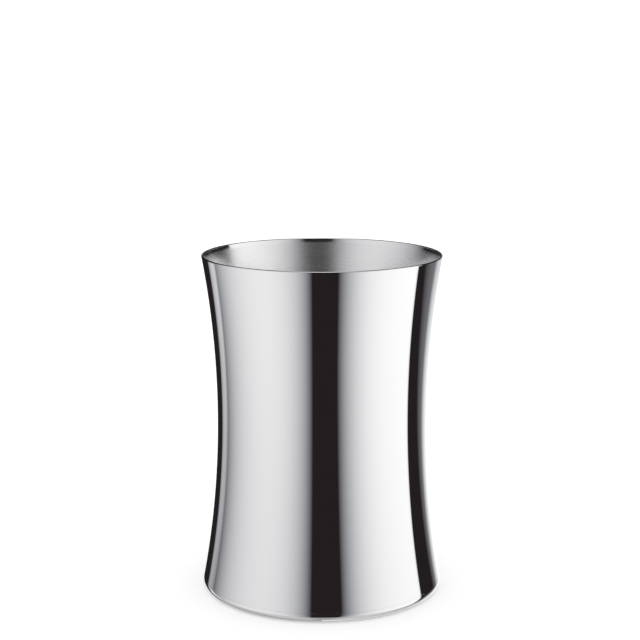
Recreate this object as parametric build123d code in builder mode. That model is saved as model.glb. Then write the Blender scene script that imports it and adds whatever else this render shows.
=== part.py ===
from build123d import *
import os
from math import copysign, sqrt

# Double-walled champagne bucket in polished stainless steel.
#
# The waisted outer shell and the straight inner liner are two thin sheets. They meet only at the
# lip, where their edges are fused under a smoothed weld bead, so a sealed air gap lies between
# them. A pressed base pan with a rounded foot is butt-welded to the shell's lower edge. A foam
# spacer carries the liner's floor on the pan, a push-in plug closes the pan's vent hole, and a
# rubber ring glued into a groove under the pan is what the bucket stands on.
#
# Every piece is round about the Z axis. The origin is on the table under the bucket's centre,
# +Z is up, and sizes are in millimetres. Profiles are drawn on the XZ plane, as (radius, height).

# Overall sizes
height = 235.0  # table to the top of the lip
rim_diameter = 165.0  # outside, at the lip
waist_diameter = 145.0  # outside, at the waist
waist_height = 122.0  # table to the waist
foot_diameter = 166.5  # outside, at the seam between shell and base pan

# Sheet thicknesses
shell_sheet = 0.8
liner_sheet = 0.6
pan_sheet = 0.8

# Lip and liner
lip_rise = 0.7  # height of the weld bead over the faced-off sheet edges
lip_chamfer = 0.3  # of the weld bead's two edges
air_gap = 5.0  # between shell and liner where the shell is narrowest
flare_length = 95.0  # height over which the liner opens out to meet the lip
liner_corner = 12.0  # inside radius between the liner's wall and its floor

# Base pan
foot_rounding = 4.0  # outside radius of the rounded foot
seam_rise = 1.7  # height of the seam over the rounded foot
seam_gap = 0.5  # height of the seam bead between the two sheet edges
bend_radius = 0.6  # inside radius of the pan's other bends
stand_width = 7.0  # from the rounded foot in to the ring's groove
groove_depth = 2.2  # of the ring's groove, above the steel's lowest face
recess_rise = 4.0  # how far the pan's middle is raised above the groove

# Rubber ring
ring_width = 9.0
ring_proud = 0.8  # how far it holds the steel off the table
ring_edge = 0.6  # rounding of its lower edges
ring_clearance = 0.3  # from each side of it to where the groove's bend starts

# Vent plug
vent_diameter = 5.0
plug_head_diameter = 9.0
plug_head_thickness = 1.0
plug_barb_rise = 2.4  # how far the barb stands above the pan
plug_barb_grip = 0.9  # how far the barb reaches past the vent hole's edge
plug_tip_taper = 1.2  # how much smaller in radius the barb's tip is than its base

# Foam spacer
spacer_thickness = 5.0
spacer_width = 20.0
spacer_margin = 4.0  # from its edge in from the edge of the flat that it lies on

# Heights that follow from the sizes above
edge_height = height - lip_rise
flare_height = edge_height - flare_length
seam_height = ring_proud + foot_rounding + seam_rise
shell_foot_height = seam_height + seam_gap
groove_height = ring_proud + groove_depth
recess_height = groove_height + recess_rise
pan_top_height = recess_height + pan_sheet
liner_foot_height = pan_top_height + spacer_thickness

# The shell's outside face is one circular arc through the lip, the waist and the seam.
wall = ThreePointArc(
    (foot_diameter / 2, seam_height),
    (waist_diameter / 2, waist_height),
    (rim_diameter / 2, edge_height),
)
wall_centre = wall.arc_center
# +1 where the wall curves in to its waist, -1 where it swells out like a barrel
waisting = copysign(1, wall_centre.X - waist_diameter / 2)


def wall_radius(z, depth):
    """Radius, at height z, of the face that lies depth inside the shell's outside face."""
    reach = sqrt((wall.radius + waisting * depth) ** 2 - (z - wall_centre.Y) ** 2)
    return wall_centre.X - waisting * reach


def wall_arc(low, high, depth):
    """The wall's arc between two heights, depth inside the shell's outside face."""
    heights = (low, (low + high) / 2, high)
    return ThreePointArc(*[(wall_radius(z, depth), z) for z in heights])


def wall_section(low, high, sheet):
    """Outline of a stretch of the wall's sheet, cut off level at both heights."""
    outside = wall_arc(low, high, 0)
    inside = wall_arc(low, high, sheet)
    Line(outside @ 0, inside @ 0)
    Line(outside @ 1, inside @ 1)


def liner_face(radius, floor, corner, mouth):
    """One face of the liner, from its centre out along the floor and up to the mouth."""
    base = Line((0, floor), (radius - corner, floor))
    bend = TangentArc(base @ 1, (radius, floor + corner), tangent=(1, 0))
    side = Line(bend @ 1, (radius, flare_height))
    TangentArc(side @ 1, (mouth, edge_height), tangent=(0, 1))


# Radii of the liner. Its side clears the shell by the air gap at the shell's narrowest height,
# and its mouth is an arc that starts upright and ends against the shell's inside face.
turning_height = min(max(wall_centre.Y, shell_foot_height), edge_height)
shell_bores = [
    wall_radius(z, shell_sheet) for z in (shell_foot_height, turning_height, edge_height)
]
liner_radius = min(shell_bores) - air_gap
bore_radius = liner_radius - liner_sheet
mouth_radius = wall_radius(edge_height, shell_sheet)
flare = TangentArc((liner_radius, flare_height), (mouth_radius, edge_height), tangent=(0, 1))
flare_reach = sqrt((flare.radius + liner_sheet) ** 2 - flare_length**2)
bore_mouth_radius = liner_radius + flare.radius - flare_reach

os.makedirs("parts", exist_ok=True)

# Outer shell: an open waisted tube of sheet.
with BuildPart() as outer_shell:
    with BuildSketch(Plane.XZ):
        with BuildLine():
            wall_section(shell_foot_height, edge_height, shell_sheet)
        make_face()
    revolve(axis=Axis.Z)
outer_shell.part.label = "outer_shell"
export_step(outer_shell.part, "parts/outer_shell.step")

# Inner liner: a deep-drawn cup with a straight side and a flared mouth.
with BuildPart() as inner_liner:
    with BuildSketch(Plane.XZ):
        with BuildLine():
            floor_height = liner_foot_height + liner_sheet
            liner_face(liner_radius, liner_foot_height, liner_corner + liner_sheet, mouth_radius)
            liner_face(bore_radius, floor_height, liner_corner, bore_mouth_radius)
            Line((0, liner_foot_height), (0, floor_height))
            Line((mouth_radius, edge_height), (bore_mouth_radius, edge_height))
        make_face()
    revolve(axis=Axis.Z)
inner_liner.part.label = "inner_liner"
export_step(inner_liner.part, "parts/inner_liner.step")

# Lip weld bead: a cap with chamfered edges, over the faced-off edges of shell and liner.
with BuildPart() as lip_weld_bead:
    with BuildSketch(Plane.XZ):
        with BuildLine():
            lip_radius = wall_radius(edge_height, 0)
            Polyline(
                (bore_mouth_radius, edge_height),
                (lip_radius, edge_height),
                (lip_radius, height - lip_chamfer),
                (lip_radius - lip_chamfer, height),
                (bore_mouth_radius + lip_chamfer, height),
                (bore_mouth_radius, height - lip_chamfer),
                close=True,
            )
        make_face()
    revolve(axis=Axis.Z)
lip_weld_bead.part.label = "lip_weld_bead"
export_step(lip_weld_bead.part, "parts/lip_weld_bead.step")

# Base seam bead: fills the butt joint between shell and base pan, flush with both faces.
with BuildPart() as base_seam_bead:
    with BuildSketch(Plane.XZ):
        with BuildLine():
            wall_section(seam_height, shell_foot_height, pan_sheet)
        make_face()
    revolve(axis=Axis.Z)
base_seam_bead.part.label = "base_seam_bead"
export_step(base_seam_bead.part, "parts/base_seam_bead.step")

# Base pan: carries the wall's slope down into the rounded foot, turns in under the bucket, steps
# up into the ring's groove, and steps up again to the recess with the vent hole at its centre.
# Its lower face is drawn, a little past the seam, and given its thickness on the upper side, and
# its rim is then trimmed level at the seam.
seam_point = Vector(foot_diameter / 2, seam_height)
wall_slope = wall.tangent_at(0)
pan_rim = seam_point + wall_slope * pan_sheet
trim = 4 * pan_sheet
foot_corner = seam_point - wall_slope * ((seam_height - ring_proud) / wall_slope.Y)
outer_bend = bend_radius + pan_sheet
groove_radius = foot_corner.X - foot_rounding - stand_width
ring_radius = groove_radius - bend_radius - ring_clearance
ring_bore_radius = ring_radius - ring_width
recess_radius = ring_bore_radius - ring_clearance - outer_bend
vent_radius = vent_diameter / 2
with BuildPart() as base_pan:
    with BuildSketch(Plane.XZ):
        with BuildLine():
            FilletPolyline(
                (pan_rim.X, pan_rim.Y),
                (foot_corner.X, foot_corner.Y),
                (groove_radius, ring_proud),
                (groove_radius, groove_height),
                (recess_radius, groove_height),
                (recess_radius, recess_height),
                (vent_radius, recess_height),
                radius=[foot_rounding, outer_bend, bend_radius, outer_bend, bend_radius],
            )
            offset(amount=pan_sheet, side=Side.RIGHT)
        make_face()
        with Locations((foot_diameter / 2, seam_height)):
            Rectangle(trim, trim, align=(Align.CENTER, Align.MIN), mode=Mode.SUBTRACT)
    revolve(axis=Axis.Z)
base_pan.part.label = "base_pan"
export_step(base_pan.part, "parts/base_pan.step")

# Foot ring: a flat rubber ring glued into the groove.
with BuildPart() as foot_ring:
    with BuildSketch(Plane.XY):
        Circle(ring_radius)
        Circle(ring_bore_radius, mode=Mode.SUBTRACT)
    extrude(amount=groove_height)
    fillet(foot_ring.edges().group_by(Axis.Z)[0], radius=ring_edge)
foot_ring.part.label = "foot_ring"
export_step(foot_ring.part, "parts/foot_ring.step")

# Vent plug: a head under the pan, a neck through the vent hole and a barb above the pan.
with BuildPart() as vent_plug:
    with BuildSketch(Plane.XZ):
        with BuildLine():
            head_radius = plug_head_diameter / 2
            head_height = recess_height - plug_head_thickness
            barb_radius = vent_radius + plug_barb_grip
            barb_height = pan_top_height + plug_barb_rise
            Polyline(
                (0, head_height),
                (head_radius, head_height),
                (head_radius, recess_height),
                (vent_radius, recess_height),
                (vent_radius, pan_top_height),
                (barb_radius, pan_top_height),
                (barb_radius - plug_tip_taper, barb_height),
                (0, barb_height),
                close=True,
            )
        make_face()
    revolve(axis=Axis.Z)
vent_plug.part.label = "vent_plug"
export_step(vent_plug.part, "parts/vent_plug.step")

# Liner spacer: a foam ring between the liner's flat floor and the pan's flat middle.
flat_radius = min(bore_radius - liner_corner, recess_radius - bend_radius)
spacer_radius = flat_radius - spacer_margin
with BuildPart() as liner_spacer:
    with BuildSketch(Plane.XY.offset(pan_top_height)):
        Circle(spacer_radius)
        Circle(spacer_radius - spacer_width, mode=Mode.SUBTRACT)
    extrude(amount=spacer_thickness)
liner_spacer.part.label = "liner_spacer"
export_step(liner_spacer.part, "parts/liner_spacer.step")
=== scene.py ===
import bpy
import math
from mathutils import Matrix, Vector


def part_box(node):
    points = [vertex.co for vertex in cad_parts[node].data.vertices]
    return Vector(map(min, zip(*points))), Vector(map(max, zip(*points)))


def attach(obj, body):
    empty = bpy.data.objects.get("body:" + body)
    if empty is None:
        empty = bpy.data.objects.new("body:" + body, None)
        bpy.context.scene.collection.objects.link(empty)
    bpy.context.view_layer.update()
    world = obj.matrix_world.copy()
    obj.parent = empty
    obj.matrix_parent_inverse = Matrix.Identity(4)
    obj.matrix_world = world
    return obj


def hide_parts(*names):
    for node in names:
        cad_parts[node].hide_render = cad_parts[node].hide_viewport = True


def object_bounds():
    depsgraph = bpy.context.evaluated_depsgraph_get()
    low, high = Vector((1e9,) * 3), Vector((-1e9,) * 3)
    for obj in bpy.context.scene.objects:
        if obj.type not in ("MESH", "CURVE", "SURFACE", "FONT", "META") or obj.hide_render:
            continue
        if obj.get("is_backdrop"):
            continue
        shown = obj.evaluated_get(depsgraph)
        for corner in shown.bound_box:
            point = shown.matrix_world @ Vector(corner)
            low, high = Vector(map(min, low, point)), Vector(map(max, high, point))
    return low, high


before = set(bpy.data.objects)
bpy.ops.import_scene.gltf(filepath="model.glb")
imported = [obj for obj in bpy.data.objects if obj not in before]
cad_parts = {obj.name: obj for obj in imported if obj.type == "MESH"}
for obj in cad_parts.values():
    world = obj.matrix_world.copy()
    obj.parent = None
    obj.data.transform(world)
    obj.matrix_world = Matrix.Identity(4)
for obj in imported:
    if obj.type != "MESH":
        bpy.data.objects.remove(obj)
cad_low, cad_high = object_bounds()


# Studio: the bucket stands on a white table in a dark room. A broad soft light stands on its left,
# a brighter one on its right, and a white backdrop closes the room behind it. The polished steel
# shows all of them as upright bands.

def add(tree, kind, inputs=None, **settings):
    """Adds a node. Its inputs are values, sockets, or nodes that stand for their first output."""
    made = tree.nodes.new(kind)
    for name, value in settings.items():
        setattr(made, name, value)
    for key, value in (inputs or {}).items():
        feed(tree, made.inputs[key], value)
    return made


def feed(tree, socket, value):
    """Gives one input socket a value, another socket, or a node's first output."""
    if isinstance(value, bpy.types.Node):
        value = value.outputs[0]
    if isinstance(value, bpy.types.NodeSocket):
        tree.links.new(value, socket)
    else:
        socket.default_value = value


def calculate(tree, operation, *numbers):
    """Adds a Math node."""
    return add(tree, "ShaderNodeMath", dict(enumerate(numbers)), operation=operation)


def soft_step(tree, value, start, end, low=0.0, high=1.0):
    """Adds a smooth step of a value, from low at start to high at end."""
    ends = {"Value": value, "From Min": start, "From Max": end, "To Min": low, "To Max": high}
    return add(tree, "ShaderNodeMapRange", ends, interpolation_type="SMOOTHSTEP")


def blend_colours(tree, share, first, second):
    """Adds a colour that goes from the first to the second as a share goes from 0 to 1."""
    mix = add(tree, "ShaderNodeMix", data_type="RGBA")
    for key, value in {0: share, 6: first, 7: second}.items():
        feed(tree, mix.inputs[key], value)
    return mix.outputs[2]


def new_group(name, kind, inputs, outputs):
    """Makes a node group with named inputs and outputs, and returns it with the nodes at its ends."""
    group = bpy.data.node_groups.new(name, kind)
    for sockets, side in ((inputs, "INPUT"), (outputs, "OUTPUT")):
        for label, socket_kind in sockets.items():
            group.interface.new_socket(label, in_out=side, socket_type="NodeSocket" + socket_kind)
    return group, group.nodes.new("NodeGroupInput"), group.nodes.new("NodeGroupOutput")


band_sizes = ("Start", "Start softness", "End", "End softness", "Brightness", "Lean", "Fade")


def diffuser_edge(tree, inside, softness):
    """Adds the light of a diffuser, a number of degrees inside its edge."""
    depth = calculate(tree, "DIVIDE", calculate(tree, "MAXIMUM", inside, 0.0), softness)
    missing = calculate(tree, "EXPONENT", calculate(tree, "MULTIPLY", depth, -1.0))
    return calculate(tree, "SUBTRACT", 1.0, missing)


def light_band_group():
    """Node group for one upright band of light between two bearings, each with its own soft edge.
    Its first edge leans, and it fades, with each degree that it rises."""
    sockets = {name: "Float" for name in ("Bearing", "Rise") + band_sizes}
    group, given, result = new_group("Light band", "ShaderNodeTree", sockets, {"Light": "Float"})
    size = given.outputs
    start = calculate(group, "MULTIPLY_ADD", size["Rise"], size["Lean"], size["Start"])
    from_start = calculate(group, "SUBTRACT", size["Bearing"], start)
    from_end = calculate(group, "SUBTRACT", size["End"], size["Bearing"])
    rise = diffuser_edge(group, from_start, size["Start softness"])
    fall = diffuser_edge(group, from_end, size["End softness"])
    lit = calculate(group, "MULTIPLY", calculate(group, "MULTIPLY", rise, fall), size["Brightness"])
    lost = calculate(group, "MULTIPLY", size["Rise"], size["Fade"])
    kept = calculate(group, "MAXIMUM", calculate(group, "SUBTRACT", 1.0, lost), 0.0)
    feed(group, result.inputs["Light"], calculate(group, "MULTIPLY", lit, kept))
    return group


# Angles are in degrees, and bearings are from the camera, positive to its right. From the left the
# bands are a strip of the backdrop, the left light, the right light, the backdrop's dim edge and
# the backdrop. Each has its sizes in the order of band_sizes.
light_bands = (
    (-143, 3.5, -126, 3.5, 0.71, 0, 0.11),
    (-133.5, 31, -9.5, 18, 1.0, 0.6, 0),
    (16.5, 21, 108.5, 0.9, 1.085, 0.1, 0),
    (125.5, 12, 190, 1, 0.28, 2.4, 0.05),
    (141.5, 12, 190, 1, 0.93, 0, 0.06),
)
band_middle = -15.5  # elevation at which a band has its own sizes
band_reach = (-5, 15)  # from there, how far its lean and fade go on
room_shade = (0.0175, 0.0140, 0.0150, 1.0)
cool_light = (0.9, 0.925, 1.0, 1.0)
cool_below = 0.9  # dimmer light than this turns cool
lamp_foot = -28
lamp_middle = 0
lamp_middle_light = 0.94
lamp_top_starts = 38
lamp_top = 54
ceiling_start = 63
ceiling_full = 80
ceiling_light = 1.6
table_starts = -33
table_blur = 3
table_light = 0.34
table_sheen = 0.28
white = (1.0, 1.0, 1.0, 1.0)
fill_light = 1.05

world = bpy.data.worlds.new("studio")
bpy.context.scene.world = world
world.use_nodes = True
air = world.node_tree
air.nodes.clear()
looking = add(air, "ShaderNodeSeparateXYZ", {0: add(air, "ShaderNodeTexCoord").outputs["Generated"]})
toward_camera = calculate(air, "MULTIPLY", looking.outputs["Y"], -1.0)
bearing = calculate(air, "DEGREES", calculate(air, "ARCTAN2", looking.outputs["X"], toward_camera))
elevation = calculate(air, "DEGREES", calculate(air, "ARCSINE", looking.outputs["Z"]))
risen = calculate(air, "SUBTRACT", elevation, band_middle)
risen = add(air, "ShaderNodeClamp", {"Value": risen, "Min": band_reach[0], "Max": band_reach[1]})
light_band = light_band_group()
light = 0.0
for sizes in light_bands:
    band = add(air, "ShaderNodeGroup", node_tree=light_band)
    feed(air, band.inputs["Bearing"], bearing)
    feed(air, band.inputs["Rise"], risen)
    for name, size in zip(band_sizes, sizes):
        feed(air, band.inputs[name], size)
    light = calculate(air, "ADD", band, light)
dimming = soft_step(air, elevation, lamp_foot, lamp_middle, 1.0, lamp_middle_light)
light = calculate(air, "MULTIPLY", light, dimming)
under_top = soft_step(air, elevation, lamp_top_starts, lamp_top, 1.0, 0.0)
light = calculate(air, "MULTIPLY", light, under_top)
overhead = soft_step(air, elevation, ceiling_start, ceiling_full)
light_above = add(air, "ShaderNodeMix", {0: overhead, 2: light, 3: ceiling_light})
light_below = calculate(air, "ADD", calculate(air, "MULTIPLY", light, table_sheen), table_light)
below = soft_step(air, elevation, table_starts - table_blur, table_starts, 1.0, 0.0)
light = add(air, "ShaderNodeMix", {0: below, 2: light_above, 3: light_below})
whiteness = add(air, "ShaderNodeMapRange", {"Value": light, "From Max": cool_below})
whiteness = calculate(air, "MAXIMUM", whiteness, below)
lamp_colour = blend_colours(air, whiteness, cool_light, white)
lamps = add(air, "ShaderNodeBackground", {"Color": lamp_colour, "Strength": light})
dark_room = add(air, "ShaderNodeBackground", {"Color": room_shade})
room = add(air, "ShaderNodeAddShader", {0: lamps, 1: dark_room})
fill = add(air, "ShaderNodeBackground", {"Color": white, "Strength": fill_light})
mirrored = add(air, "ShaderNodeLightPath").outputs["Is Glossy Ray"]
add(air, "ShaderNodeOutputWorld", {0: add(air, "ShaderNodeMixShader", {0: mirrored, 1: fill, 2: room})})


def new_material(name):
    """Makes a material and returns it with its node tree and its shader's inputs."""
    material = bpy.data.materials.new(name)
    material.use_nodes = True
    return material, material.node_tree, material.node_tree.nodes["Principled BSDF"].inputs


# The table shows only from above, so that the underside of the bucket can be looked at.
table_paint, paint, shader = new_material("white_table")
speckle = add(paint, "ShaderNodeTexNoise", {"Scale": 60.0, "Detail": 4.0})
tint = add(paint, "ShaderNodeMapRange", {"Value": speckle, "To Min": 0.955, "To Max": 0.965})
feed(paint, shader["Base Color"], tint)
shader["Roughness"].default_value = 0.75
shader["Specular IOR Level"].default_value = 0.1
shader["Emission Color"].default_value = white
shader["Emission Strength"].default_value = 0.19
from_below = add(paint, "ShaderNodeNewGeometry").outputs["Backfacing"]
seen_through = add(paint, "ShaderNodeBsdfTransparent")
one_sided = {0: from_below, 1: paint.nodes["Principled BSDF"], 2: seen_through}
one_sided = add(paint, "ShaderNodeMixShader", one_sided)
feed(paint, paint.nodes["Material Output"].inputs["Surface"], one_sided)

table_radius = 40.0
table_corners = 128
angles = [math.tau * place / table_corners for place in range(table_corners)]
table_edge = [(table_radius * math.cos(angle), table_radius * math.sin(angle), 0) for angle in angles]
table_sheet = bpy.data.meshes.new("table")
table_sheet.from_pydata(table_edge, [], [range(table_corners)])
table_sheet.materials.append(table_paint)
table = bpy.data.objects.new("table", table_sheet)
bpy.context.scene.collection.objects.link(table)
table.visible_glossy = False
table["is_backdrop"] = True


# Camera: a long lens in front of the bucket, a little higher than its lip, that looks slightly
# down on it. It sees the near side of the wall, the lip and a narrow view of the inside.

camera_distance = 1.0824
camera_height = 0.3894
camera_dip = math.radians(10.5)
camera_turn = math.radians(0.069)
lens = bpy.data.cameras.new("camera")
lens.sensor_width = 36.0
lens.lens = 89.67
lens.clip_start = 0.01
lens.clip_end = 100.0
camera = bpy.data.objects.new("camera", lens)
bpy.context.scene.collection.objects.link(camera)
bpy.context.scene.camera = camera
bpy.context.scene.view_settings.view_transform = "Standard"
camera.location = (0, -camera_distance, camera_height)
camera.rotation_euler = (math.pi / 2 - camera_dip, 0, camera_turn)


# Outer shell: the waisted outer wall. One sheet of stainless steel, rolled, welded and swelled
# into its hourglass curve, then buffed until it is a mirror.

def ring_of(node, height):
    """Outermost radius of a CAD node, and its height, at its points nearest to a height."""
    points = [vertex.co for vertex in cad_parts[node].data.vertices]
    level = min(points, key=lambda point: abs(point.z - height)).z
    return max(point.xy.length for point in points if abs(point.z - level) < 1e-6), level


steps_round = 256
steps_up_wall = 96
weld = 2e-6  # points closer than this become one
crease = math.radians(35)  # edges that bend more than this stay crisp


def turning_group():
    """Node group that turns a profile, drawn as (radius, 0, height), about the Z axis. A profile
    goes down a piece's outside and up its inside, so that its faces point outwards."""
    sockets = {"Profile": "Geometry"}
    group, given, result = new_group("Turn", "GeometryNodeTree", sockets, {"Mesh": "Geometry"})
    circle = add(group, "GeometryNodeCurvePrimitiveCircle", {"Resolution": steps_round, "Radius": 1.0})
    drawn = add(group, "ShaderNodeSeparateXYZ", {0: add(group, "GeometryNodeInputPosition")})
    outward = calculate(group, "SUBTRACT", drawn.outputs["X"], 1.0)
    down = calculate(group, "MULTIPLY", drawn.outputs["Z"], -1.0)
    laid_flat = add(group, "ShaderNodeCombineXYZ", {"X": outward, "Y": down})
    profile = {"Geometry": given.outputs["Profile"], "Position": laid_flat}
    profile = add(group, "GeometryNodeSetPosition", profile)
    swept = add(group, "GeometryNodeCurveToMesh", {"Curve": circle, "Profile Curve": profile})
    welded = add(group, "GeometryNodeMergeByDistance", {"Geometry": swept, "Distance": weld})
    feed(group, result.inputs["Mesh"], welded)
    return group


def backing_group():
    """Node group that gives a turned face the thickness of its sheet, behind the face."""
    sockets = {"Face": "Geometry", "Sheet": "Float"}
    group, given, result = new_group("Back", "GeometryNodeTree", sockets, {"Mesh": "Geometry"})
    face = given.outputs["Face"]
    behind = calculate(group, "MULTIPLY", given.outputs["Sheet"], -1.0)
    back = {"Mesh": face, "Offset Scale": behind, "Individual": False}
    back = add(group, "GeometryNodeFlipFaces", {0: add(group, "GeometryNodeExtrudeMesh", back)})
    both = add(group, "GeometryNodeJoinGeometry", {0: face})
    feed(group, both.inputs[0], back)
    welded = add(group, "GeometryNodeMergeByDistance", {"Geometry": both, "Distance": weld})
    feed(group, result.inputs["Mesh"], welded)
    return group


turning = turning_group()
backing = backing_group()


def start_tree(name, sizes):
    """Starts a piece's tree, and returns it with the sockets of its named sizes."""
    sockets = {size: "Float" for size in sizes}
    tree, given, result = new_group(name, "GeometryNodeTree", sockets, {"Mesh": "Geometry"})
    tree.is_modifier = True
    return tree, given.outputs


def corner(tree, radius, height):
    """A point of a profile."""
    return add(tree, "ShaderNodeCombineXYZ", {"X": radius, "Z": height})


def arc(tree, start, middle, end, steps):
    """A round stretch of a profile, through three points, in a number of straight steps."""
    points = {"Start": start, "Middle": middle, "End": end, "Resolution": steps + 1}
    return add(tree, "GeometryNodeCurveArc", points, mode="POINTS")


def turn(tree, *stretches):
    """Turns a profile, given as one stretch or more, about the Z axis."""
    profile = add(tree, "GeometryNodeJoinGeometry")
    for stretch in stretches:
        feed(tree, profile.inputs[0], stretch)
    return add(tree, "GeometryNodeGroup", {"Profile": profile}, node_tree=turning)


def back(tree, face, sheet):
    """Gives a turned face the thickness of its sheet."""
    return add(tree, "GeometryNodeGroup", {"Face": face, "Sheet": sheet}, node_tree=backing)


def end_tree(tree, mesh, material):
    """Ends a piece's tree: smooth faces, crisp edges, and its material."""
    bend = add(tree, "GeometryNodeInputMeshEdgeAngle")
    gentle = add(tree, "FunctionNodeCompare", {0: bend, 1: crease}, operation="LESS_THAN")
    smooth = add(tree, "GeometryNodeSetShadeSmooth", {"Geometry": mesh}, domain="FACE")
    crisp = {"Geometry": smooth, "Shade Smooth": gentle}
    crisp = add(tree, "GeometryNodeSetShadeSmooth", crisp, domain="EDGE")
    real = add(tree, "GeometryNodeRealizeInstances", {0: crisp})
    painted = add(tree, "GeometryNodeSetMaterial", {"Geometry": real, "Material": material})
    feed(tree, tree.nodes["Group Output"].inputs["Mesh"], painted)


def make_piece(name, tree, sizes):
    """Runs a piece's tree with its sizes, and keeps the result as a plain mesh."""
    piece = bpy.data.objects.new(name, bpy.data.meshes.new("unshaped"))
    bpy.context.scene.collection.objects.link(piece)
    shaping = piece.modifiers.new("shaping", "NODES")
    shaping.node_group = tree
    for socket in tree.interface.items_tree:
        if socket.in_out == "INPUT":
            shaping[socket.identifier] = sizes[socket.name]
    shaped = piece.evaluated_get(bpy.context.evaluated_depsgraph_get())
    mesh = bpy.data.meshes.new_from_object(shaped)
    mesh.name = name
    piece.modifiers.clear()
    piece.data = mesh
    return piece


def calculate_vector(tree, operation, *vectors):
    """Adds a Vector Math node."""
    return add(tree, "ShaderNodeVectorMath", dict(enumerate(vectors)), operation=operation)


def from_axis(tree, place):
    """A place's level vector from the Z axis, and its length."""
    level = calculate_vector(tree, "MULTIPLY", place, (1, 1, 0))
    return level, calculate_vector(tree, "LENGTH", level).outputs["Value"]


def turned_lines_group():
    """Shader group for the fine lines that spinning, drawing and buffing leave round a piece, on
    its walls and on its flat faces alike."""
    sockets = {"Lines per metre": "Float", "Breaks": "Float"}
    group, given, result = new_group("Turned lines", "ShaderNodeTree", sockets, {"Lines": "Float"})
    per_metre = given.outputs["Lines per metre"]
    place = add(group, "ShaderNodeTexCoord").outputs["Object"]
    level, radius = from_axis(group, place)
    around = calculate_vector(group, "NORMALIZE", level)
    around = calculate_vector(group, "MULTIPLY", around, given.outputs["Breaks"])
    outward = add(group, "ShaderNodeCombineXYZ", {"Z": calculate(group, "MULTIPLY", radius, per_metre)})
    height = add(group, "ShaderNodeSeparateXYZ", {0: place}).outputs["Z"]
    noise = {
        "Vector": calculate_vector(group, "ADD", around, outward),
        "W": calculate(group, "MULTIPLY", height, per_metre),
        "Scale": 1.0,
        "Detail": 3.0,
        "Roughness": 0.65,
    }
    feed(group, result.inputs["Lines"], add(group, "ShaderNodeTexNoise", noise, noise_dimensions="4D"))
    return group


def handling_group():
    """Shader group for the soft, uneven marks that hands and wiping cloths leave."""
    sockets = {"Marks per metre": "Float", "Cover": "Float"}
    group, given, result = new_group("Handling", "ShaderNodeTree", sockets, {"Marks": "Float"})
    place = add(group, "ShaderNodeTexCoord").outputs["Object"]
    noise = {
        "Vector": place,
        "Scale": given.outputs["Marks per metre"],
        "Detail": 5.0,
        "Roughness": 0.65,
        "Distortion": 0.25,
    }
    cloud = add(group, "ShaderNodeTexNoise", noise)
    bare = 0.7  # clouds below this leave no marks where the cover is 0
    blur = 0.32
    start = calculate(group, "MULTIPLY_ADD", given.outputs["Cover"], -0.5, bare)
    end = calculate(group, "ADD", start, blur)
    feed(group, result.inputs["Marks"], soft_step(group, cloud, start, end))
    return group


turned_lines = turned_lines_group()
handling = handling_group()


def lines(tree, per_metre, breaks):
    """Places the turned lines in a material."""
    sizes = {"Lines per metre": per_metre, "Breaks": breaks}
    return add(tree, "ShaderNodeGroup", sizes, node_tree=turned_lines)


def marks(tree, per_metre, cover):
    """Places the handling marks in a material."""
    return add(tree, "ShaderNodeGroup", {"Marks per metre": per_metre, "Cover": cover}, node_tree=handling)


def between(tree, share, low, high):
    """Adds a number that goes from low to high as a share goes from 0 to 1."""
    return add(tree, "ShaderNodeMapRange", {"Value": share, "To Min": low, "To Max": high})


def bump(tree, height, metres):
    """Adds a normal from a height that goes from 0 to 1 over a depth in metres."""
    relief = {"Height": height, "Distance": metres, "Strength": 1.0}
    return add(tree, "ShaderNodeBump", relief)


mirror_steel, polish, shader = new_material("mirror_steel")
wiped = marks(polish, per_metre=22.0, cover=0.35)
buffed = lines(polish, per_metre=5200.0, breaks=1.3)
haze = calculate(polish, "MULTIPLY_ADD", wiped, 0.55, calculate(polish, "MULTIPLY", buffed, 0.45))
tone = blend_colours(polish, haze, (0.935, 0.935, 0.94, 1), (0.905, 0.905, 0.905, 1))
feed(polish, shader["Base Color"], tone)
feed(polish, shader["Roughness"], between(polish, haze, 0.02, 0.06))
place = add(polish, "ShaderNodeTexCoord").outputs["Object"]
swell = add(polish, "ShaderNodeTexNoise", {"Vector": place, "Scale": 18.0, "Detail": 1.0})
feed(polish, shader["Normal"], bump(polish, swell, metres=0.00001))
shader["Metallic"].default_value = 1.0

shell_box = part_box("outer_shell")
foot_radius, foot_height = ring_of("outer_shell", shell_box[0][2])
waist_radius, waist_height = ring_of("outer_shell", (shell_box[0][2] + shell_box[1][2]) / 2)
lip_radius, lip_height = ring_of("outer_shell", shell_box[1][2])
wall_sizes = {
    "Foot radius": foot_radius,
    "Foot height": foot_height,
    "Waist radius": waist_radius,
    "Waist height": waist_height,
    "Lip radius": lip_radius,
    "Lip height": lip_height,
    "Sheet": 0.0008,
}
tree, size = start_tree("Wall", wall_sizes)
wall_top = corner(tree, size["Lip radius"], size["Lip height"])
waist = corner(tree, size["Waist radius"], size["Waist height"])
wall_foot = corner(tree, size["Foot radius"], size["Foot height"])
outside = turn(tree, arc(tree, wall_top, waist, wall_foot, steps_up_wall))
end_tree(tree, back(tree, outside, size["Sheet"]), mirror_steel)
wall = make_piece("waisted_wall", tree, wall_sizes)
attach(wall, "root")
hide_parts("outer_shell")


# Inner liner: the cup that holds the ice. It is deep-drawn from one thin disc of stainless steel,
# with a rounded floor and a straight side, and its mouth is spun outwards to meet the outer wall.
# Its inside is brushed to a satin finish, and polished with the lip where the mouth flares.

steps_of_bend = 8
steps_up_flare = 48


def choose(tree, kind, index, items):
    """Adds a switch that picks one of several items by an index."""
    switch = add(tree, "GeometryNodeIndexSwitch", data_type=kind)
    while len(switch.index_switch_items) < len(items):
        switch.index_switch_items.new()
    feed(tree, switch.inputs[0], index)
    for place, item in enumerate(items, start=1):
        feed(tree, switch.inputs[place], item)
    return switch


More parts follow.
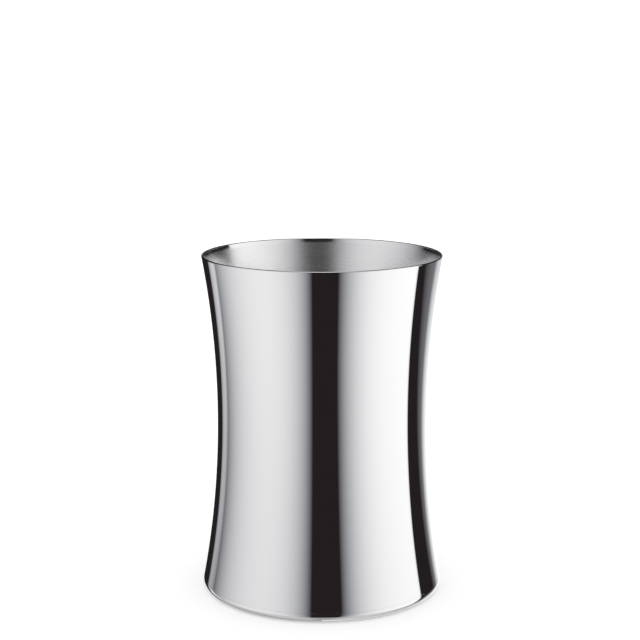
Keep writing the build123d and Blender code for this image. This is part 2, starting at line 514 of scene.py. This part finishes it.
def bent(tree, corners, closed=False):
    """A profile of straight runs. Each of its corners is (radius, height, rounding)."""
    index = add(tree, "GeometryNodeInputIndex")
    places = [corner(tree, radius, height) for radius, height, rounding in corners]
    place = choose(tree, "VECTOR", index, places)
    rounding = choose(tree, "FLOAT", index, [rounding for radius, height, rounding in corners])
    points = add(tree, "GeometryNodePoints", {"Count": len(corners), "Position": place})
    runs = add(tree, "GeometryNodePointsToCurves", {0: points})
    ring = add(tree, "GeometryNodeSetSplineCyclic", {"Geometry": runs, "Cyclic": closed})
    bends = {"Curve": ring, "Count": steps_of_bend, "Radius": rounding}
    return add(tree, "GeometryNodeFilletCurve", bends, mode="POLY")


polish_starts = cad_high[2] - 0.004
polish_full = cad_high[2] - 0.001

satin_steel, brush, shader = new_material("satin_steel")
place = add(brush, "ShaderNodeTexCoord").outputs["Object"]
height = add(brush, "ShaderNodeSeparateXYZ", {0: place}).outputs["Z"]
polished = soft_step(brush, height, polish_starts, polish_full)
brushed = lines(brush, per_metre=3800.0, breaks=2.2)
touched = marks(brush, per_metre=16.0, cover=0.4)
dulled = calculate(brush, "MULTIPLY", touched, 0.35)
shade = calculate(brush, "MULTIPLY_ADD", brushed, 0.65, dulled)
satin = between(brush, shade, 0.22, 0.38)
tone = blend_colours(brush, shade, (0.93, 0.93, 0.935, 1), (0.8, 0.8, 0.795, 1))
feed(brush, shader["Base Color"], tone)
feed(brush, shader["Roughness"], add(brush, "ShaderNodeMix", {0: polished, 2: satin, 3: 0.05}))
unpolished = calculate(brush, "SUBTRACT", 1.0, polished)
grain = calculate(brush, "MULTIPLY", brushed, unpolished)
feed(brush, shader["Normal"], bump(brush, grain, metres=0.000006))
shader["Metallic"].default_value = 1.0

cup_sheet = 0.0006
cup_corner = 0.012
flare_length = 0.095
cup_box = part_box("inner_liner")
flare_height = cup_box[1][2] - flare_length
cup_radius, flare_height = ring_of("inner_liner", flare_height)
mouth_radius, mouth_height = ring_of("inner_liner", cup_box[1][2])


def flare_point(height, depth):
    """Radius of the flared mouth at a height, depth inside the face that meets the outer wall. The
    flare is an arc that leaves the straight side upright."""
    rise = mouth_height - flare_height
    reach = mouth_radius - cup_radius
    bend_radius = (rise**2 + reach**2) / (2 * reach)
    return cup_radius + bend_radius - math.sqrt((bend_radius + depth) ** 2 - (height - flare_height) ** 2)


cup_sizes = {
    "Floor height": cup_box[0][2] + cup_sheet,
    "Corner": cup_corner,
    "Bore radius": flare_point(flare_height, cup_sheet),
    "Flare height": flare_height,
    "Flare middle radius": flare_point((flare_height + mouth_height) / 2, cup_sheet),
    "Flare middle height": (flare_height + mouth_height) / 2,
    "Mouth radius": flare_point(mouth_height, cup_sheet),
    "Mouth height": mouth_height,
    "Sheet": cup_sheet,
}
tree, size = start_tree("Cup", cup_sizes)
cup = bent(
    tree,
    [
        (0.0, size["Floor height"], 0.0),
        (size["Bore radius"], size["Floor height"], size["Corner"]),
        (size["Bore radius"], size["Flare height"], 0.0),
    ],
)
flare_start = corner(tree, size["Bore radius"], size["Flare height"])
flare_middle = corner(tree, size["Flare middle radius"], size["Flare middle height"])
flare_end = corner(tree, size["Mouth radius"], size["Mouth height"])
inside = turn(tree, cup, arc(tree, flare_start, flare_middle, flare_end, steps_up_flare))
end_tree(tree, back(tree, inside, size["Sheet"]), satin_steel)
liner = make_piece("satin_cup", tree, cup_sizes)
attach(liner, "root")
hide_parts("inner_liner")


# Lip: the edges of wall and liner are welded together all round, and the weld is ground and
# polished to a smooth half-round, thin enough to look like the edge of a single sheet.

lip_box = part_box("lip_weld_bead")
lip_sizes = {
    "Outer radius": ring_of("lip_weld_bead", lip_box[0][2])[0],
    "Inner radius": cup_sizes["Mouth radius"],
    "Edge height": lip_box[0][2],
    "Top height": lip_box[1][2],
    "Rounding": lip_box[1][2] - lip_box[0][2],
}
tree, size = start_tree("Lip", lip_sizes)
section = bent(
    tree,
    [
        (size["Outer radius"], size["Top height"], size["Rounding"]),
        (size["Outer radius"], size["Edge height"], 0.0),
        (size["Inner radius"], size["Edge height"], 0.0),
        (size["Inner radius"], size["Top height"], size["Rounding"]),
    ],
    closed=True,
)
end_tree(tree, turn(tree, section), mirror_steel)
lip = make_piece("polished_lip", tree, lip_sizes)
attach(lip, "root")
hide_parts("lip_weld_bead")


# Base seam: the butt weld that joins the wall to the base pan. It is ground flush, and shows only
# as a hair-fine ring where the buffing wheel leaves the metal a little duller.

seam_steel, grind, shader = new_material("seam_steel")
ground = lines(grind, per_metre=9000.0, breaks=6.0)
place = add(grind, "ShaderNodeTexCoord").outputs["Object"]
ripples = add(grind, "ShaderNodeTexNoise", {"Vector": place, "Scale": 900.0})
feed(grind, shader["Base Color"], blend_colours(grind, ripples, (0.93, 0.93, 0.93, 1), (0.84, 0.84, 0.84, 1)))
feed(grind, shader["Roughness"], between(grind, ground, 0.06, 0.2))
feed(grind, shader["Normal"], bump(grind, ripples, metres=0.000004))
shader["Metallic"].default_value = 1.0

seam_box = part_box("base_seam_bead")
seam_low_radius, seam_low = ring_of("base_seam_bead", seam_box[0][2])
seam_high_radius, seam_high = ring_of("base_seam_bead", seam_box[1][2])
seam_sizes = {
    "Low radius": seam_low_radius,
    "Low height": seam_low,
    "High radius": seam_high_radius,
    "High height": seam_high,
    "Sheet": wall_sizes["Sheet"],
}
tree, size = start_tree("Seam", seam_sizes)
low_bore = calculate(tree, "SUBTRACT", size["Low radius"], size["Sheet"])
high_bore = calculate(tree, "SUBTRACT", size["High radius"], size["Sheet"])
section = bent(
    tree,
    [
        (size["High radius"], size["High height"], 0.0),
        (size["Low radius"], size["Low height"], 0.0),
        (low_bore, size["Low height"], 0.0),
        (high_bore, size["High height"], 0.0),
    ],
    closed=True,
)
end_tree(tree, turn(tree, section), seam_steel)
seam = make_piece("ground_seam", tree, seam_sizes)
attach(seam, "root")
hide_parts("base_seam_bead")


# Base pan: pressed from one disc of stainless steel. Its edge is rolled into the rounded foot, which
# is polished with the wall. Underneath, a groove takes the rubber ring and the middle is raised.
# The underside keeps the turned lines of the spinning lathe.

pan_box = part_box("base_pan")
foot_edge = pan_box[1][0]
polish_starts = foot_edge - 0.0055
polish_full = foot_edge - 0.003

base_steel, lathe, shader = new_material("base_steel")
place = add(lathe, "ShaderNodeTexCoord").outputs["Object"]
radius = from_axis(lathe, place)[1]
polished = soft_step(lathe, radius, polish_starts, polish_full)
cut = lines(lathe, per_metre=2600.0, breaks=1.6)
scuffed = marks(lathe, per_metre=60.0, cover=0.45)
dulled = calculate(lathe, "MULTIPLY", scuffed, 0.3)
shade = calculate(lathe, "MULTIPLY_ADD", cut, 0.7, dulled)
satin = between(lathe, shade, 0.2, 0.42)
feed(lathe, shader["Roughness"], add(lathe, "ShaderNodeMix", {0: polished, 2: satin, 3: 0.035}))
under = blend_colours(lathe, shade, (0.84, 0.84, 0.845, 1), (0.68, 0.68, 0.675, 1))
feed(lathe, shader["Base Color"], blend_colours(lathe, polished, under, (0.92, 0.92, 0.925, 1)))
unpolished = calculate(lathe, "SUBTRACT", 1.0, polished)
grain = calculate(lathe, "MULTIPLY", cut, unpolished)
feed(lathe, shader["Normal"], bump(lathe, grain, metres=0.000012))
shader["Metallic"].default_value = 1.0

ring_width = 0.009
ring_clearance = 0.0003
pan_sheet = 0.0008
inner_bend = 0.0006
outer_bend = inner_bend + pan_sheet
ring_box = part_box("foot_ring")
ring_radius = ring_of("foot_ring", ring_box[1][2])[0]
ring_bore = ring_radius - ring_width
slope = (seam_low_radius - seam_high_radius) / (seam_high - seam_low)
pan_sizes = {
    "Seam radius": seam_low_radius,
    "Seam height": seam_low,
    "Foot radius": seam_low_radius + slope * (seam_low - pan_box[0][2]),
    "Foot height": pan_box[0][2],
    "Foot rounding": 0.004,
    "Groove radius": ring_radius + ring_clearance + inner_bend,
    "Groove height": ring_box[1][2],
    "Recess radius": ring_bore - ring_clearance - outer_bend,
    "Recess height": pan_box[1][2] - pan_sheet,
    "Vent radius": 0.0025,
    "Inner bend": inner_bend,
    "Outer bend": outer_bend,
    "Sheet": pan_sheet,
}
tree, size = start_tree("Pan", pan_sizes)
underside = bent(
    tree,
    [
        (size["Seam radius"], size["Seam height"], 0.0),
        (size["Foot radius"], size["Foot height"], size["Foot rounding"]),
        (size["Groove radius"], size["Foot height"], size["Outer bend"]),
        (size["Groove radius"], size["Groove height"], size["Inner bend"]),
        (size["Recess radius"], size["Groove height"], size["Outer bend"]),
        (size["Recess radius"], size["Recess height"], size["Inner bend"]),
        (size["Vent radius"], size["Recess height"], 0.0),
    ],
)
end_tree(tree, back(tree, turn(tree, underside), size["Sheet"]), base_steel)
pan = make_piece("pressed_base", tree, pan_sizes)
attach(pan, "root")
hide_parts("base_pan")


# Foot ring: a flat ring of black rubber, moulded with fine ribs on the face that it stands on and
# glued into the groove under the pan. It keeps the steel off the table.

ring_rubber, rubber, shader = new_material("ring_rubber")
place = add(rubber, "ShaderNodeTexCoord").outputs["Object"]
grain = add(rubber, "ShaderNodeTexNoise", {"Vector": place, "Scale": 2600.0, "Detail": 3.0})
dusty = marks(rubber, per_metre=90.0, cover=0.5)
dust = calculate(rubber, "MULTIPLY", dusty, grain)
tone = blend_colours(rubber, dust, (0.016, 0.016, 0.017, 1), (0.07, 0.068, 0.064, 1))
feed(rubber, shader["Base Color"], tone)
feed(rubber, shader["Roughness"], between(rubber, grain, 0.62, 0.86))
feed(rubber, shader["Normal"], bump(rubber, grain, metres=0.00006))
shader["Specular IOR Level"].default_value = 0.4

rib_count = 4
rib_depth = 0.0004
groove_mouth = 0.24  # share of the width from rib to rib
groove_floor = 0.12
ring_edge = 0.0006
ring_sizes = {
    "Outer radius": ring_radius,
    "Bore radius": ring_bore,
    "Top height": ring_box[1][2],
    "Foot height": ring_box[0][2],
    "Edge": ring_edge,
    "Rib depth": rib_depth,
    "Rib rounding": rib_depth / 4,
}
tree, size = start_tree("Ring", ring_sizes)
ring_foot = size["Foot height"]
between_ribs = calculate(tree, "ADD", ring_foot, size["Rib depth"])
width = calculate(tree, "SUBTRACT", size["Outer radius"], size["Bore radius"])
groove_shape = (
    (-groove_mouth / 2, ring_foot),
    (-groove_floor / 2, between_ribs),
    (groove_floor / 2, between_ribs),
    (groove_mouth / 2, ring_foot),
)
outline = [
    (size["Outer radius"], size["Top height"], 0.0),
    (size["Outer radius"], ring_foot, size["Edge"]),
]
for groove in range(1, rib_count):
    for share, height in groove_shape:
        inward = calculate(tree, "MULTIPLY", width, (groove + share) / rib_count)
        radius = calculate(tree, "SUBTRACT", size["Outer radius"], inward)
        outline.append((radius, height, size["Rib rounding"]))
outline += [
    (size["Bore radius"], ring_foot, size["Edge"]),
    (size["Bore radius"], size["Top height"], 0.0),
]
end_tree(tree, turn(tree, bent(tree, outline, closed=True)), ring_rubber)
ring = make_piece("rubber_ring", tree, ring_sizes)
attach(ring, "root")
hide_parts("foot_ring")


# Vent plug: moulded in grey polyethylene and pushed through the pan's vent hole until its barb
# springs out on the far side. The mould's gate leaves a small dimple in the middle of its head.

plug_plastic, mould, shader = new_material("plug_plastic")
place = add(mould, "ShaderNodeTexCoord").outputs["Object"]
spark = add(mould, "ShaderNodeTexNoise", {"Vector": place, "Scale": 4200.0, "Detail": 2.0})
worn = marks(mould, per_metre=240.0, cover=0.4)
tone = blend_colours(mould, worn, (0.075, 0.078, 0.082, 1), (0.12, 0.122, 0.125, 1))
feed(mould, shader["Base Color"], tone)
feed(mould, shader["Roughness"], between(mould, spark, 0.42, 0.6))
feed(mould, shader["Normal"], bump(mould, spark, metres=0.00003))

plug_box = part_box("vent_plug")
plug_sizes = {
    "Head radius": ring_of("vent_plug", plug_box[0][2])[0],
    "Head height": plug_box[0][2],
    "Pan underside": pan_sizes["Recess height"],
    "Pan top": pan_box[1][2],
    "Neck radius": pan_sizes["Vent radius"],
    "Barb radius": ring_of("vent_plug", pan_box[1][2])[0],
    "Tip radius": ring_of("vent_plug", plug_box[1][2])[0],
    "Tip height": plug_box[1][2],
    "Rounding": 0.0004,
    "Gate radius": 0.0008,
    "Gate depth": 0.00025,
}
tree, size = start_tree("Plug", plug_sizes)
gate_top = calculate(tree, "ADD", size["Head height"], size["Gate depth"])
plug = bent(
    tree,
    [
        (0.0, size["Tip height"], 0.0),
        (size["Tip radius"], size["Tip height"], size["Rounding"]),
        (size["Barb radius"], size["Pan top"], 0.0),
        (size["Neck radius"], size["Pan top"], 0.0),
        (size["Neck radius"], size["Pan underside"], 0.0),
        (size["Head radius"], size["Pan underside"], 0.0),
        (size["Head radius"], size["Head height"], size["Rounding"]),
        (size["Gate radius"], size["Head height"], 0.0),
        (size["Gate radius"], gate_top, 0.0),
        (0.0, gate_top, 0.0),
    ],
)
end_tree(tree, turn(tree, plug), plug_plastic)
plug = make_piece("vent_stopper", tree, plug_sizes)
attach(plug, "root")
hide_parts("vent_plug")


# Spacer: a ring die-cut from a sheet of white closed-cell foam, laid between the base pan and the
# liner's floor. It is hidden when the bucket is whole, and lightly squeezed, so its sides swell.

spacer_foam, foam, shader = new_material("spacer_foam")
place = add(foam, "ShaderNodeTexCoord").outputs["Object"]
cells = add(foam, "ShaderNodeTexVoronoi", {"Vector": place, "Scale": 1400.0}).outputs["Distance"]
yellowed = marks(foam, per_metre=40.0, cover=0.5)
tone = blend_colours(foam, yellowed, (0.82, 0.82, 0.8, 1), (0.74, 0.72, 0.66, 1))
feed(foam, shader["Base Color"], tone)
feed(foam, shader["Roughness"], between(foam, cells, 0.95, 0.75))
feed(foam, shader["Normal"], bump(foam, cells, metres=0.00025))

spacer_width = 0.020
spacer_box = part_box("liner_spacer")
spacer_radius, spacer_top = ring_of("liner_spacer", spacer_box[1][2])
spacer_sizes = {
    "Outer radius": spacer_radius,
    "Bore radius": spacer_radius - spacer_width,
    "Foot height": spacer_box[0][2],
    "Top height": spacer_top,
    "Swell": 0.0012,
}
tree, size = start_tree("Spacer", spacer_sizes)
section = bent(
    tree,
    [
        (size["Outer radius"], size["Top height"], size["Swell"]),
        (size["Outer radius"], size["Foot height"], size["Swell"]),
        (size["Bore radius"], size["Foot height"], size["Swell"]),
        (size["Bore radius"], size["Top height"], size["Swell"]),
    ],
    closed=True,
)
end_tree(tree, turn(tree, section), spacer_foam)
spacer = make_piece("foam_ring", tree, spacer_sizes)
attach(spacer, "root")
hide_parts("liner_spacer")


sizes = {"cad": [list(point) for point in (cad_low, cad_high)]}
sizes["visual"] = [list(point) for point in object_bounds()]
